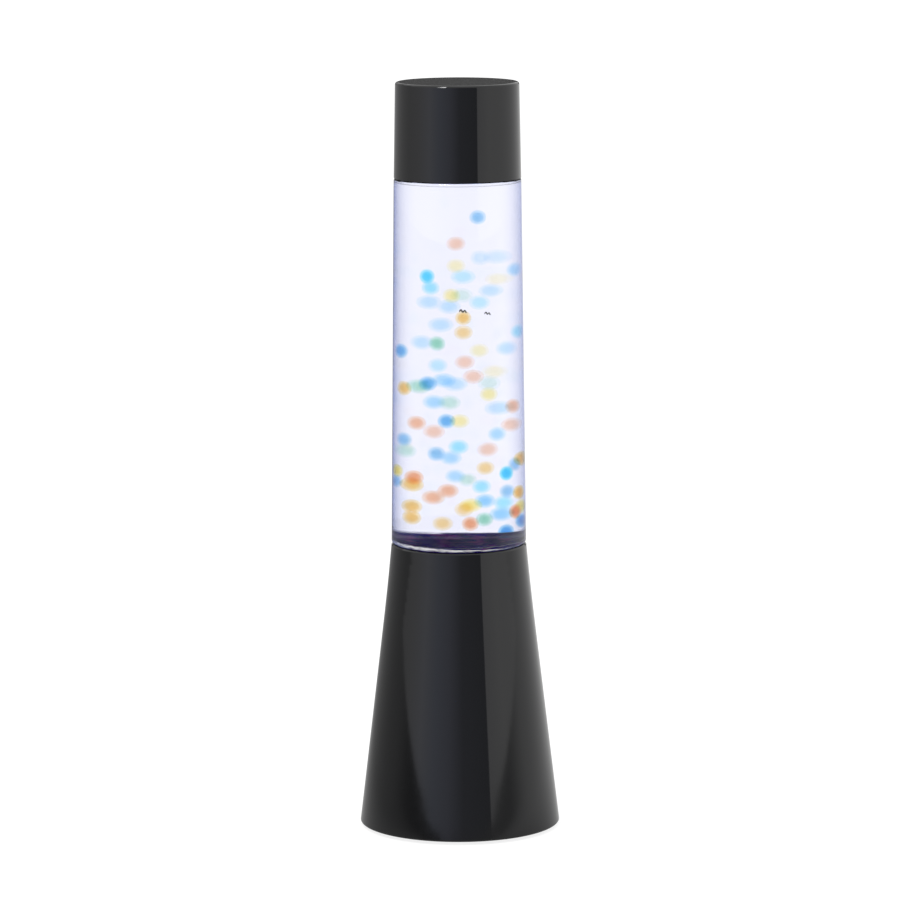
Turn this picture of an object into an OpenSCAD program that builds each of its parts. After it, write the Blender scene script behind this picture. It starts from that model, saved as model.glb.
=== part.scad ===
// Table-top lava lamp: a flared plastic housing with an upright reflector bulb under a sealed glass
// bottle of tinted liquid and coloured beads, closed by a loose cap.
// Millimetres, +Z up, origin on the table under the middle of the lamp, front -Y, cord inlet +Y.

/* [Housing] */
// Diameter of the housing at its foot
base_d = 91; // [82:1:112]
// Height of the housing, from its bottom edge to its top rim
base_h = 129; // [128:1:160]
// Wall thickness of the housing
base_wall = 2.2; // [1.8:0.1:2.7]
// How far the top curve stands out from the straight cone at the rim
flare_in = 0.5; // [0.2:0.1:1]
// Height of the curved stretch under the rim
flare_h = 35; // [25:1:45]
// Gap between the table and the bottom edge of the housing
foot_lift = 1.5; // [1:0.1:2]

/* [Bottle] */
// Outer diameter of the bottle at its heel, where it meets the housing
bottle_d = 61.2; // [58:0.1:74]
// How much narrower the bottle is under the cap than at its heel
bottle_taper = 3.7; // [1:0.1:5]
// Height of bottle that shows between the housing and the cap
bottle_h = 165.7; // [135:0.1:200]
// Thickness of the glass
glass_t = 2.4; // [2:0.1:2.9]
// How deep the bottle's foot reaches into the housing
foot_depth = 12; // [10:0.5:14]
// Diameter of the bottle's neck
neck_d = 25; // [21:0.5:30]
// Level of the liquid above the shoulder's ledge
liquid_over = 9; // [7:0.5:11]

/* [Beads] */
// Diameter of each floating bead
bead_d = 4.6; // [3.8:0.1:5.2]

/* [Cap] */
// Height of the cap
cap_h = 43.3; // [38:0.1:52]
// Wall thickness of the cap
cap_wall = 2; // [1.6:0.1:2.4]
// How much narrower the cap is at its top than at its rim
cap_taper = 1.5; // [0.5:0.1:3]

/* [Bulb and holder] */
// Diameter of the reflector bulb
bulb_d = 39; // [36:0.5:40]
// Length of the bulb, from its contact to its face
bulb_l = 68; // [64:0.5:72]
// Major diameter of the bulb's screw cap
screw_d = 13.9; // [13:0.1:14.2]
// Pitch of the bulb's screw thread
screw_pitch = 2.82; // [2.5:0.01:3]
// Turns that take the bulb out of its holder
screw_turns = 6; // [5:1:6]
// Outer diameter of the lampholder
holder_d = 27.6; // [26:0.1:30]
// Outer diameter of the hollow rod that carries the holder
rod_d = 10; // [9:0.1:11]

/* [Underside] */
// Thickness of the bottom cover
cover_t = 3; // [2.6:0.1:3.6]
// Diameter of each rubber foot
foot_d = 10; // [8:0.5:12]
// Bore of the cord bush
cord_bore = 6; // [5:0.1:7]
// Height of the cord above the table
cord_z = 15; // [14:0.5:20]

/* [Hidden] */

// Clearances
face_gap = 0.05;    // between flat faces of pieces that only rest on each other
fit_gap = 0.1;      // radial, between fixed round pieces
loose_gap = 0.4;    // radial, between pieces that lift apart
screw_gap = 0.3;    // radial, around a screw in its clearance hole
thread_gap = 0.05;  // radial, around a screw in its pilot hole

// Heights that everything hangs on
rim_z = foot_lift + base_h;                  // top rim of the housing
heel_z = rim_z + 0.3;                        // underside of the bottle's heel
foot_z = heel_z - foot_depth;                // underside of the bottle's foot
ledge_z = heel_z + bottle_h;                 // ledge on the shoulder that carries the cap
cap_z = ledge_z + 0.1;                       // bottom edge of the cap
top_z = cap_z + cap_h;                       // top of the lamp
cover_z = foot_lift + 0.5;                   // underside of the bottom cover
floor_z = cover_z + cover_t;                 // top of the bottom cover

// Radii of the shells
heel_r = bottle_d / 2;
rim_r = heel_r + 0.05;
ledge_r = heel_r - bottle_taper / 2;
cap_r = ledge_r - 0.05;
cap_in_r = cap_r - cap_wall;
collar_r = cap_in_r - loose_gap;
rim_in_r = rim_r - base_wall;
bottle_foot_r = rim_in_r - loose_gap;

// Housing outline: a straight cone with a curve up to the rim
edge_r = 0.8;
edge_z = foot_lift + edge_r;
flare_z = rim_z - flare_h;
cone_slope = (base_d / 2 - rim_r + flare_in) / (rim_z - edge_z);
function base_r(z) =
    base_d / 2 - cone_slope * (z - edge_z) + flare_in * pow(max(0, (z - flare_z) / flare_h), 2);
function base_in_r(z) = base_r(z) - base_wall;

// Seat for the bottle
gasket_t = 1.2;
gasket_w = 3;
seat_t = 1;
seat_r = rim_in_r - 0.35;
seat_z = foot_z - face_gap - gasket_t - seat_t;
seat_screw_at = seat_r - 2.1;
gasket_r = seat_screw_at - 2.1;
seat_hole_r = min(bulb_d / 2 + 1, gasket_r - gasket_w - 0.4);
lug_h = 12;
lug_r = 3;
lug_angles = [90, 210, 330];

// Fasteners under the lamp
pilot_r = 1.25;
boss_r = 3.8;
boss_h = 12;
boss_angles = [30, 150, 270];
boss_at = base_in_r(floor_z) - boss_r + 0.4;
foot_at = boss_at - 5.5;
foot_angles = [45, 135, 225, 315];

// Bulb, stacked down from the bottle so that it can be screwed out under it
bulb_rise = screw_pitch * screw_turns;
bulb_top_z = foot_z - 1.5 - bulb_rise;
tip_z = bulb_top_z - bulb_l;
screw_r = screw_d / 2;

// Heights on the bulb itself, counted from its contact
cap_turns = 4;
cap_low_u = 3.95;
cap_flare_u = cap_low_u + 0.8 + screw_pitch * cap_turns + 4.4;
thread_root_r = screw_r - 0.6;
bulb_neck_r = screw_r + 1.05;
bulb_neck_u = cap_flare_u + 0.3;

// Holder, stacked down from the bulb's contact
tip_over_core = 1.4;
core_z = tip_z - tip_over_core;
core_t = 6.6;
core_flange_t = 3;
holder_wall = 1.8;
holder_z = core_z - core_t - 7;
holder_r = holder_d / 2;
shell_r = screw_r + 1.05;
core_out_r = shell_r + 1.4;
core_top_z = core_z + 16;
rod_r = rod_d / 2 - 0.05;
rod_bore_r = rod_r - 0.95;
rod_under = 5.4;
bracket_t = 1.5;
bracket_z = holder_z - bracket_t;
bracket_w = 16;
bracket_span = 44;
bracket_boss_h = 4;
bracket_foot = 10;

// Cord inlet
inlet_r = base_r(cord_z);
inlet_tilt = atan(cone_slope);
clamp_w = 7;
clamp_end_h = 4;
clamp_at = base_in_r(cord_z) - clamp_w / 2 - 4;
clamp_half = cord_bore / 2 + 6;
clamp_seat_z = cord_z - cord_bore / 2;
terminal_at = bracket_w / 2 + 3.5;
terminal_l = min(14, clamp_at - clamp_w / 2 - 1 - terminal_at);
terminal_w = 19;
terminal_h = 10;
terminal_x = 4.75;
terminal_pitch = terminal_l * 0.26;
wire_r = 0.9;

$fn = 96;

// ---------- Helpers ----------

function arc(cx, cy, r, from, to, n = 8) =
    [for (i = [0:n]) let (a = from + (to - from) * i / n) [cx + r * cos(a), cy + r * sin(a)]];

function mix(a, b, t) = a * (1 - t) + b * t;

// Points of a cubic Bezier curve from p[0] to p[3]
function bezier(p, n = 10) =
    [for (i = [0:n]) let (t = i / n, s = 1 - t)
        p[0] * s * s * s + p[1] * 3 * s * s * t + p[2] * 3 * s * t * t + p[3] * t * t * t];

function unit(v) = v / norm(v);

// Points of a smooth line through the given ones, steps for each stretch
function smooth(p, steps) = [
    for (i = [0:len(p) - 2], k = [0:steps - 1])
        let (
            a = p[max(i - 1, 0)],
            b = p[i],
            c = p[i + 1],
            d = p[min(i + 2, len(p) - 1)],
            t = k / steps
        )
        0.5 * (2 * b + (c - a) * t + (2 * a - 5 * b + 4 * c - d) * t * t
            + (3 * b - a - 3 * c + d) * t * t * t),
    p[len(p) - 1]
];

// Round wire of radius r along path, which bends mostly about the axis named
module wire(path, r, axis, sides = 8) {
    last = len(path) - 1;
    function along(i) = unit(path[min(i + 1, last)] - path[max(i - 1, 0)]);
    rings = [
        for (i = [0:last], k = [0:sides - 1])
            let (u = unit(cross(along(i), axis)), v = cross(along(i), u), a = 360 * k / sides)
            path[i] + r * (u * cos(a) + v * sin(a))
    ];
    walls = [
        for (i = [0:last - 1], k = [0:sides - 1])
            let (m = (k + 1) % sides)
            [i * sides + k, i * sides + m, (i + 1) * sides + m, (i + 1) * sides + k]
    ];
    first_end = [for (k = [0:sides - 1]) sides - 1 - k];
    last_end = [for (k = [0:sides - 1]) last * sides + k];
    polyhedron(rings, concat([first_end], walls, [last_end]));
}

module around(angles, at) {
    for (a = angles)
        rotate([0, 0, a])
            translate([at, 0, 0])
                children();
}

module tube(r, bore, h) {
    difference() {
        cylinder(r = r, h = h);
        translate([0, 0, -1])
            cylinder(r = bore, h = h + 2);
    }
}

// Pan-head screw with its head's seat at the origin, shank towards +Z
module pan_screw(shank_l, shank_r = pilot_r, head_r = 2.7, head_h = 1.7) {
    difference() {
        union() {
            cylinder(r = shank_r, h = shank_l);
            translate([0, 0, -head_h])
                cylinder(r1 = head_r - 0.5, r2 = head_r, h = 0.6);
            translate([0, 0, 0.6 - head_h])
                cylinder(r = head_r, h = head_h - 0.6);
        }
        // cross recess
        for (a = [0, 90])
            rotate([0, 0, a])
                translate([0, 0, -head_h])
                    cube([2.6, 0.6, 1.8], center = true);
    }
}

// ---------- Housing and its underside ----------

module housing_outline() {
    steps = 7;
    outer = concat(
        arc(base_d / 2 - edge_r, edge_z, edge_r, -90, 0, 5),
        [for (i = [0:steps - 1]) let (z = mix(flare_z, rim_z - 0.6, i / (steps - 1))) [base_r(z), z]],
        [[rim_r - 0.6, rim_z]]
    );
    inner = concat(
        [[rim_in_r, rim_z]],
        [for (i = [steps - 1:-1:0]) let (z = mix(flare_z, rim_z - 0.6, i / (steps - 1))) [base_in_r(z), z]],
        [[base_in_r(edge_z), edge_z], [base_in_r(edge_z), foot_lift]]
    );
    polygon(concat(outer, inner));
}

// Everything inside the housing's outer face, so that bosses never show outside
module housing_envelope() {
    rotate_extrude()
        polygon([
            [0, foot_lift], [base_r(edge_z) - 0.6, foot_lift], [base_r(flare_z) - 0.6, flare_z],
            [base_r(rim_z - 5) - 0.6, rim_z - 5], [0, rim_z - 5]
        ]);
}

module base_housing() {
    color("#161719")
        difference() {
            union() {
                rotate_extrude()
                    housing_outline();
                intersection() {
                    housing_envelope();
                    union() {
                        around(boss_angles, boss_at)
                            translate([0, 0, floor_z + face_gap])
                                cylinder(r = boss_r, h = boss_h);
                        around(lug_angles, seat_screw_at)
                            translate([0, 0, seat_z - face_gap - lug_h]) {
                                cylinder(r = lug_r, h = lug_h);
                                translate([0, -1, 0])
                                    cube([base_d, 2, lug_h]);
                            }
                    }
                }
            }
            around(boss_angles, boss_at)
                translate([0, 0, floor_z - 1])
                    cylinder(r = pilot_r + thread_gap, h = boss_h - 1);
            around(lug_angles, seat_screw_at)
                translate([0, 0, seat_z - 9])
                    cylinder(r = pilot_r + thread_gap, h = 10);
            inlet()
                translate([0, 0, -base_wall - 2])
                    cylinder(r = cord_bore / 2 + 1.6 + fit_gap, h = base_wall + 6);
        }
}

// Frame of the cord inlet: origin on the housing's face, +Z straight out of it
module inlet() {
    translate([0, inlet_r, cord_z])
        rotate([inlet_tilt - 90, 0, 0])
            children();
}

module cord_bush() {
    bore = cord_bore / 2;
    inner_face = -base_wall - 0.7;
    color("#1c1c1c")
        inlet()
            rotate_extrude()
                polygon([
                    [bore, inner_face - 2.2], [bore + 2.6, inner_face - 2.2], [bore + 3.4, inner_face],
                    [bore + 1.6, inner_face], [bore + 1.6, face_gap], [bore + 3, face_gap],
                    [bore + 2.4, 0.9], [bore, 0.9]
                ]);
}

module bottom_cover() {
    rim = base_in_r(floor_z) - 0.4;
    vent_in = holder_r;
    vent_out = foot_at - foot_d / 2 - 2;
    sunk = 0.5;
    color("#202022")
        difference() {
            union() {
                translate([0, 0, cover_z])
                    cylinder(r = rim, h = cover_t);
                for (x = [-1, 1]) {
                    translate([x * bracket_span / 2, 0, floor_z - sunk])
                        cylinder(r = 4, h = bracket_boss_h + sunk);
                    translate([x * clamp_half, clamp_at, floor_z - sunk])
                        cylinder(r = 3.4, h = clamp_seat_z - floor_z + sunk);
                }
                // rib under the cord, joined to the two posts beside it
                translate([-clamp_half, clamp_at - 1, floor_z - sunk])
                    cube([2 * clamp_half, 2, clamp_seat_z - floor_z + sunk]);
                // stiffening rim, open at the housing's screw bosses
                difference() {
                    translate([0, 0, floor_z - sunk])
                        tube(rim - 1, rim - 2.6, 1.5 + sunk);
                    around(boss_angles, boss_at)
                        translate([0, 0, cover_z])
                            cylinder(r = boss_r + loose_gap, h = 20);
                }
            }
            around(boss_angles, boss_at) {
                translate([0, 0, cover_z - 1])
                    cylinder(r = pilot_r + screw_gap, h = cover_t + 2);
                translate([0, 0, cover_z - 1])
                    cylinder(r = 3.2, h = 2.8);
            }
            around(foot_angles, foot_at)
                translate([0, 0, cover_z - 1])
                    cylinder(r = foot_d / 2 + fit_gap, h = 2);
            for (x = [-1, 1]) {
                translate([x * bracket_span / 2, 0, cover_z + 0.8])
                    cylinder(r = pilot_r + thread_gap, h = 20);
                translate([x * clamp_half, clamp_at, cover_z + 0.8])
                    cylinder(r = pilot_r + thread_gap, h = 20);
            }
            translate([0, terminal_at + terminal_l / 2, cover_z + 0.8])
                cylinder(r = pilot_r + thread_gap, h = 20);
            // air slots: a fan in front and a short one on each side of the terminals
            around(concat([for (a = [200:14:340]) a], [24, 38, 142, 156]), 0)
                translate([vent_in, -1.1, cover_z - 1])
                    cube([vent_out - vent_in, 2.2, cover_t + 2]);
        }
}

module rubber_feet() {
    color("#2b2b2b")
        around(foot_angles, foot_at)
            rotate_extrude()
                polygon([
                    [0, 0], [foot_d / 2 - 0.8, 0], [foot_d / 2 - 0.15, 0.6], [foot_d / 2, cover_z],
                    [foot_d / 2, cover_z + 1 - face_gap], [0, cover_z + 1 - face_gap]
                ]);
}

module cover_screws() {
    color("#8d9094")
        around(boss_angles, boss_at)
            translate([0, 0, cover_z + 1.8])
                pan_screw(9);
}

// ---------- Cord clamp and terminals ----------

module cord_clamp_bar() {
    bar_l = 2 * clamp_half + 7;
    seat = clamp_seat_z + face_gap;
    color("#d8d8d4")
        difference() {
            translate([-bar_l / 2, clamp_at - clamp_w / 2, seat])
                cube([bar_l, clamp_w, cord_bore + 2]);
            translate([0, clamp_at - 5, cord_z])
                rotate([-90, 0, 0])
                    cylinder(r = cord_bore / 2 - 0.2, h = 10);
            translate([-cord_bore / 2 + 0.2, clamp_at - 5, seat - 1])
                cube([cord_bore - 0.4, 10, cord_z - seat + 1]);
            // the bar's ends are lower than its middle, and each takes a screw
            for (x = [-1, 1]) {
                translate([x * clamp_half, clamp_at, 0])
                    cylinder(r = pilot_r + screw_gap, h = 50);
                translate([x * (clamp_half + 1.5) - 5, clamp_at - 5, seat + clamp_end_h])
                    cube([10, 10, 20]);
            }
        }
}

module cord_clamp_screws() {
    top = clamp_seat_z + clamp_end_h + 2 * face_gap;
    color("#9a9da0")
        for (x = [-1, 1])
            translate([x * clamp_half, clamp_at, top])
                rotate([180, 0, 0])
                    pan_screw(top - cover_z - 2);
}

module terminal_block() {
    z = floor_z + face_gap;
    tube_z = z + 4.6;
    mid = terminal_at + terminal_l / 2;
    color("#ececea")
        difference() {
            union() {
                translate([-terminal_w / 2, terminal_at, z])
                    cube([terminal_w, terminal_l, 4]);
                for (x = [-terminal_x, terminal_x]) {
                    translate([x, terminal_at, tube_z])
                        rotate([-90, 0, 0])
                            cylinder(r = 3.6, h = terminal_l);
                    for (y = [-terminal_pitch, terminal_pitch])
                        translate([x, mid + y, z + 3.5])
                            cylinder(r = 2.5, h = terminal_h - 3.5);
                }
            }
            for (x = [-terminal_x, terminal_x]) {
                translate([x, terminal_at - 1, tube_z])
                    rotate([-90, 0, 0])
                        cylinder(r = 2.3 + fit_gap, h = terminal_l + 2);
                for (y = [-terminal_pitch, terminal_pitch])
                    translate([x, mid + y, tube_z])
                        cylinder(r = 1.75, h = terminal_h);
            }
            translate([0, mid, 0])
                cylinder(r = pilot_r + screw_gap, h = 50);
            translate([0, mid, z + 2])
                cylinder(r = 3, h = 50);
        }
}

module terminal_tubes() {
    z = floor_z + face_gap + 4.6;
    mid = terminal_at + terminal_l / 2;
    color("#c9a34e")
        for (x = [-terminal_x, terminal_x])
            difference() {
                translate([x, terminal_at + 1, z])
                    rotate([-90, 0, 0])
                        tube(2.3, 1.5, terminal_l - 2);
                for (y = [-terminal_pitch, terminal_pitch])
                    translate([x, mid + y, z])
                        cylinder(r = 1.3 + thread_gap, h = 5);
            }
}

module terminal_screws() {
    z = floor_z + face_gap + 4.6;
    mid = terminal_at + terminal_l / 2;
    color("#b9bbbd")
        for (x = [-terminal_x, terminal_x], y = [-terminal_pitch, terminal_pitch])
            translate([x, mid + y, z + 1.2])
                difference() {
                    cylinder(r = 1.3, h = 4);
                    translate([-2, -0.25, 3.2])
                        cube([4, 0.5, 2]);
                }
}

module terminal_fixing_screw() {
    color("#9a9da0")
        translate([0, terminal_at + terminal_l / 2, floor_z + 2 + 2 * face_gap])
            rotate([180, 0, 0])
                pan_screw(3.4, head_h = 1.5);
}

// A lead from its terminal, under the bracket, up the hollow rod and into the holder's core
module lead(side) {
    z = floor_z + face_gap + 4.6;
    under = min(z - 1, holder_z - bracket_t - rod_under - 1.6);
    wire(
        smooth([
            [side * terminal_x, terminal_at + 4, z],
            [side * terminal_x, terminal_at - 1, z],
            [side * 3.4, terminal_at * 0.5, under],
            [side * 1.6, 1.6, under + 0.5],
            [side * 1.5, 0.1, under + 3.5],
            [side * 1.5, 0, mix(under, core_z, 0.6)],
            [side * 1.5, 0, core_z - core_t + 2.5]
        ], 5),
        wire_r, [1, 0, 0]);
}

module lead_live() {
    color("#7a4a28") lead(1);
}

module lead_neutral() {
    color("#2d62b8") lead(-1);
}

// ---------- Lampholder ----------

module holder_bracket() {
    foot_top = floor_z + bracket_boss_h + face_gap;
    leg_x = bracket_span / 2 - bracket_foot / 2 - bracket_t;
    color("#b4b6b8")
        difference() {
            translate([0, bracket_w / 2, 0])
                rotate([90, 0, 0])
                    linear_extrude(height = bracket_w)
                        polygon([
                            [-leg_x - bracket_t - bracket_foot, foot_top],
                            [-leg_x, foot_top], [-leg_x, bracket_z], [leg_x, bracket_z],
                            [leg_x, foot_top], [leg_x + bracket_t + bracket_foot, foot_top],
                            [leg_x + bracket_t + bracket_foot, foot_top + bracket_t],
                            [leg_x + bracket_t, foot_top + bracket_t],
                            [leg_x + bracket_t, bracket_z + bracket_t],
                            [-leg_x - bracket_t, bracket_z + bracket_t],
                            [-leg_x - bracket_t, foot_top + bracket_t],
                            [-leg_x - bracket_t - bracket_foot, foot_top + bracket_t]
                        ]);
            cylinder(r = rod_r + fit_gap, h = 300);
            for (x = [-1, 1])
                translate([x * bracket_span / 2, 0, 0])
                    cylinder(r = pilot_r + screw_gap, h = foot_top + bracket_t + 1);
        }
}

module bracket_screws() {
    color("#9a9da0")
        for (x = [-1, 1])
            translate([x * bracket_span / 2, 0, floor_z + bracket_boss_h + bracket_t + 2 * face_gap])
                rotate([180, 0, 0])
                    pan_screw(7);
}

module holder_rod() {
    color("#c7c9cb")
        translate([0, 0, bracket_z - rod_under])
            tube(rod_r, rod_bore_r, bracket_t + rod_under + 6.4);
}

module holder_washer() {
    color("#c7c9cb")
        translate([0, 0, bracket_z - face_gap - 0.8])
            tube(rod_r + 2.6, rod_r + fit_gap, 0.8);
}

module holder_nut() {
    color("#c7c9cb")
        translate([0, 0, bracket_z - 2 * face_gap - 3.6])
            difference() {
                intersection() {
                    cylinder(r = rod_r + 3.1, h = 2.8, $fn = 6);
                    cylinder(r1 = rod_r + 2.3, r2 = rod_r + 3.6, h = 2.8);
                }
                translate([0, 0, -1])
                    cylinder(r = rod_r + thread_gap, h = 5);
            }
}

module holder_base() {
    z = holder_z + face_gap;
    low_r = rod_r + 5.9;
    ledge = core_z - core_t - face_gap;
    color("#f1efe9")
        rotate_extrude()
            polygon([
                [rod_r + thread_gap, z], [low_r - 1.2, z], [low_r - 0.3, z + 0.8], [low_r, z + 2.6],
                [holder_r - 0.5, z + 5.2], [holder_r, z + 6], [holder_r, core_z - core_t + 2.6],
                [holder_r - holder_wall, core_z - core_t + 2.6], [holder_r - holder_wall, ledge],
                [holder_r - holder_wall - 1.6, ledge], [low_r - 1.6, z + 4], [low_r - 1.9, z + 2.6],
                [rod_r + thread_gap, z + 2.6]
            ]);
}

module holder_core() {
    flange_r = holder_r - holder_wall - 0.4;
    z = core_z - core_t;
    color("#f4f2ec")
        difference() {
            rotate_extrude()
                polygon([
                    [0, z], [flange_r, z], [flange_r, z + core_flange_t], [core_out_r, z + core_flange_t],
                    [core_out_r, core_top_z], [shell_r, core_top_z], [shell_r, core_z], [0, core_z]
                ]);
            // holes for the two leads
            for (x = [-1.5, 1.5])
                translate([x, 0, z - 1])
                    cylinder(r = wire_r + 0.35, h = 4.4);
            // slot under the centre contact
            translate([-1.6, -3, core_z - 0.6])
                cube([7.2, 6, 2]);
        }
}

// Threaded shell: a thin brass cup with rounded turns that clear the bulb's cap
module holder_shell() {
    bore = screw_r + 0.3;
    turns = 4;
    z0 = core_z + face_gap;
    inner = [
        for (i = [0:turns * 8])
            let (a = i * 45) [bore + 0.15 * (1 - cos(a)), z0 + 2.4 + screw_pitch * i / 8]
    ];
    outer = [for (i = [turns * 8:-1:0]) [inner[i][0] + 0.35, inner[i][1]]];
    lip = bore - 1;
    color("#c9a34e")
        rotate_extrude()
            polygon(concat(
                [[lip, z0], [lip, z0 + 0.35], [bore, z0 + 0.35]],
                inner,
                outer,
                [[bore + 0.35, z0]]
            ));
}

module holder_contact() {
    z = core_z - 0.6 + face_gap;
    t = 0.4;
    color("#d0b060")
        difference() {
            translate([0, 2.4, 0])
                rotate([90, 0, 0])
                    linear_extrude(height = 4.8)
                        polygon([
                            [5.2, z], [5.2, z + t], [2.6, z + t], [1.4, z + 1.7], [-1.2, z + 1.7],
                            [-1.5, z + 1.2], [-1.5, z + 0.7], [-1.1, z + 1.3], [1.2, z + 1.3],
                            [2.4, z]
                        ]);
            translate([4, 0, z - 1])
                cylinder(r = 0.6, h = 3);
        }
}

module holder_sleeve() {
    z = core_z - core_t + 2.6 + face_gap;
    shoulder = core_z - core_t + core_flange_t + face_gap;
    top = core_top_z + 3;
    skin_r = holder_r - 0.7;
    color("#f1efe9")
        rotate_extrude()
            polygon([
                [holder_r - holder_wall, z], [holder_r, z], [holder_r, z + 3], [skin_r, z + 4],
                [skin_r, top - 1.4], [skin_r - 1.2, top], [core_out_r - 0.8, top],
                [core_out_r - 0.8, core_top_z + fit_gap], [skin_r - holder_wall, core_top_z + fit_gap],
                [skin_r - holder_wall, shoulder + 1.6], [skin_r - holder_wall - 1, shoulder + 1.6],
                [skin_r - holder_wall - 1, shoulder], [holder_r - holder_wall, shoulder]
            ]);
}

// ---------- Seat of the bottle ----------

module seat_ring() {
    color("#c4c7ca")
        difference() {
            translate([0, 0, seat_z])
                tube(seat_r, seat_hole_r, seat_t);
            around(lug_angles, seat_screw_at)
                cylinder(r = pilot_r + 0.1, h = 400);
        }
}

module seat_screws() {
    color("#9a9da0")
        around(lug_angles, seat_screw_at)
            translate([0, 0, seat_z + seat_t + face_gap])
                rotate([180, 0, 0])
                    pan_screw(7, head_r = 1.9, head_h = 1);
}

module seat_gasket() {
    inner = gasket_r - gasket_w;
    outer = gasket_r;
    z = seat_z + seat_t + face_gap / 2;
    color("#dedede")
        rotate_extrude()
            polygon([
                [inner, z], [outer, z], [outer, z + gasket_t - 0.3],
                [outer - 0.4, z + gasket_t - face_gap / 2], [inner + 0.4, z + gasket_t - face_gap / 2],
                [inner, z + gasket_t - 0.3]
            ]);
}

// ---------- Bulb ----------

module bulb_contact() {
    color("#b8babc")
        translate([0, 0, tip_z])
            rotate_extrude()
                polygon(concat([[0, 0]], arc(0, 1.5, 2.4, -38, 0, 4), [[2.4, 2], [0, 2]]));
}

module bulb_insulator() {
    color("#141414")
        translate([0, 0, tip_z])
            rotate_extrude()
                polygon([
                    [2.4 + face_gap, 1.3], [3, 1.3], [thread_root_r - 1, 3.3], [thread_root_r - 1, 3.9],
                    [0, 3.9], [0, 2 + face_gap], [2.4 + face_gap, 2 + face_gap]
                ]);
}

module bulb_screw_cap() {
    low = cap_low_u;
    root = thread_root_r;
    skin = 0.3;
    thread = [
        for (i = [0:cap_turns * 8])
            let (a = i * 45) [root + 0.3 * (1 - cos(a)), low + 0.8 + screw_pitch * i / 8]
    ];
    flare_r = bulb_neck_r + skin + 0.15;
    flare = [
        [root, cap_flare_u - 3.6], [root + 0.8, cap_flare_u - 2.8], [flare_r - 0.2, cap_flare_u - 0.4],
        [flare_r, cap_flare_u], [flare_r, cap_flare_u + 4]
    ];
    outer = concat(thread, flare);
    inner = [for (i = [len(outer) - 1:-1:0]) [outer[i][0] - skin, outer[i][1]]];
    color("#c2c4c6")
        translate([0, 0, tip_z])
            rotate_extrude()
                polygon(concat(
                    [[3.2, low], [root, low]],
                    outer,
                    inner,
                    [[root - skin, low + skin], [3.2, low + skin]]
                ));
}

// Outline of the bulb's glass, from the neck inside the screw cap to the middle of its face
function bulb_side() = concat(
    [[bulb_neck_r, bulb_neck_u]],
    bezier([
        [bulb_neck_r, bulb_l * 0.42], [bulb_neck_r + 1, bulb_l * 0.58],
        [bulb_d / 2 - 0.4, bulb_l * 0.66], [bulb_d / 2, bulb_l * 0.84]
    ], 12),
    bezier([
        [bulb_d / 2, bulb_l * 0.84], [bulb_d / 2, bulb_l * 0.92],
        [bulb_d / 2 - 4, bulb_l * 0.955], [bulb_d / 2 - 9, bulb_l * 0.98]
    ], 6),
    [[5, bulb_l * 0.997], [0, bulb_l]]
);

function inset(points, d) = [
    for (i = [0:len(points) - 1])
        let (
            v = unit(points[min(i + 1, len(points) - 1)] - points[max(i - 1, 0)]),
            p = points[i] + d * [-v[1], v[0]]
        )
        [max(p[0], 0), p[1]]
];

module bulb_glass() {
    outer = bulb_side();
    inner = inset(outer, 0.8);
    n = len(outer) - 1;
    color("#e8ecee", 0.5)
        translate([0, 0, tip_z])
            rotate_extrude()
                polygon(concat(
                    outer,
                    [[0, bulb_l - 0.8]],
                    [for (i = [n - 1:-1:1]) inner[i]],
                    [[bulb_neck_r - 0.8, bulb_neck_u]]
                ));
}

// Reflector coating on the inside of the bulb's side
module bulb_mirror() {
    side = bulb_side();
    skin_out = inset(side, 0.83);
    skin_in = inset(side, 1.03);
    color("#d5d8da")
        translate([0, 0, tip_z])
            rotate_extrude()
                polygon(concat([for (i = [3:14]) skin_out[i]], [for (i = [14:-1:3]) skin_in[i]]));
}

module bulb_stem() {
    flare_r = bulb_neck_r - 0.8 - fit_gap;
    color("#e2e8ea", 0.6)
        translate([0, 0, tip_z])
            rotate_extrude()
                polygon([
                    [0, bulb_neck_u + 0.4], [flare_r, bulb_neck_u + 0.4], [flare_r, bulb_neck_u + 1.2],
                    [3.4, bulb_neck_u + 4], [2.6, bulb_neck_u + 9], [2, bulb_neck_u + 12],
                    [0, bulb_neck_u + 12.5]
                ]);
}

filament_z = tip_z + bulb_l * 0.72;
filament_r = 6;

// Two wires that feed the filament's ends and one that holds its middle
module bulb_wires() {
    start = tip_z + bulb_neck_u + 12.7;
    heights = [start, start + 3, filament_z - 2.5, filament_z - 0.62];
    reach = [0.9, 2.4, filament_r, filament_r];
    color("#9ea1a4") {
        for (side = [-1, 1])
            wire(smooth([for (i = [0:3]) [side * reach[i], 0, heights[i]]], 4), 0.3, [0, 1, 0]);
        wire(smooth([for (i = [0:3]) [0, reach[i], heights[i]]], 4), 0.25, [1, 0, 0]);
    }
}

module bulb_filament() {
    color("#f0d8a8")
        translate([0, 0, filament_z])
            rotate_extrude(angle = 180)
                translate([filament_r, 0])
                    circle(r = 0.5, $fn = 24);
}

// ---------- Bottle ----------

heel_round = 1.4;
shoulder_top = 14;
lip_z = top_z - cap_wall - 5.2;
neck_r = neck_d / 2;
punt_h = 2.2;

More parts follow.
